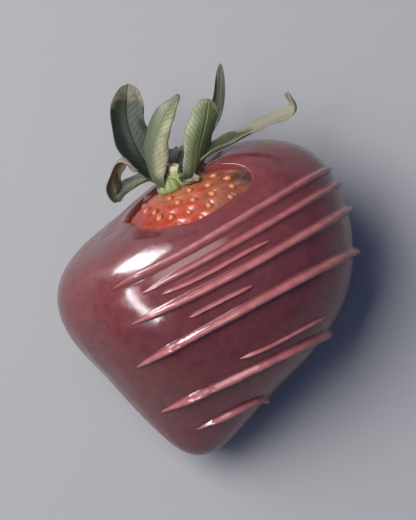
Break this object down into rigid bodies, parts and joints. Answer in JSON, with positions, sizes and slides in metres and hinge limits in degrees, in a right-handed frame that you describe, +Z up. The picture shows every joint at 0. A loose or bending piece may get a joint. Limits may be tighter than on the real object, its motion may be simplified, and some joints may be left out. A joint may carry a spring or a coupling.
{
  "type": "chocolate coated strawberry",
  "caption": "Whole strawberry dipped in milk chocolate with drizzled threads, lying on its side, its crown, seeds and green leaves left bare.",
  "frame": {"origin": "on the surface the berry lies on, below the middle of the whole berry's box", "axes": "+Z up, +Y from the fruit's tip to its calyx, +X across the fruit towards its higher shoulder"},
  "size_m": [0.0472, 0.0608, 0.039],
  "materials": {
    "fruit": "moist strawberry skin, red to orange, paler towards the calyx, with small yellowish seeds",
    "chocolate": "set milk chocolate, smooth and softly glossy, with raised threads of the same chocolate",
    "calyx": "fresh green leaf, paler underneath, dry and cream coloured at some tips"
  },
  "bodies": {
    "root": {"fruit": "fruit", "chocolate_coat": "chocolate", "calyx": "calyx"}
  },
  "joints": []
}
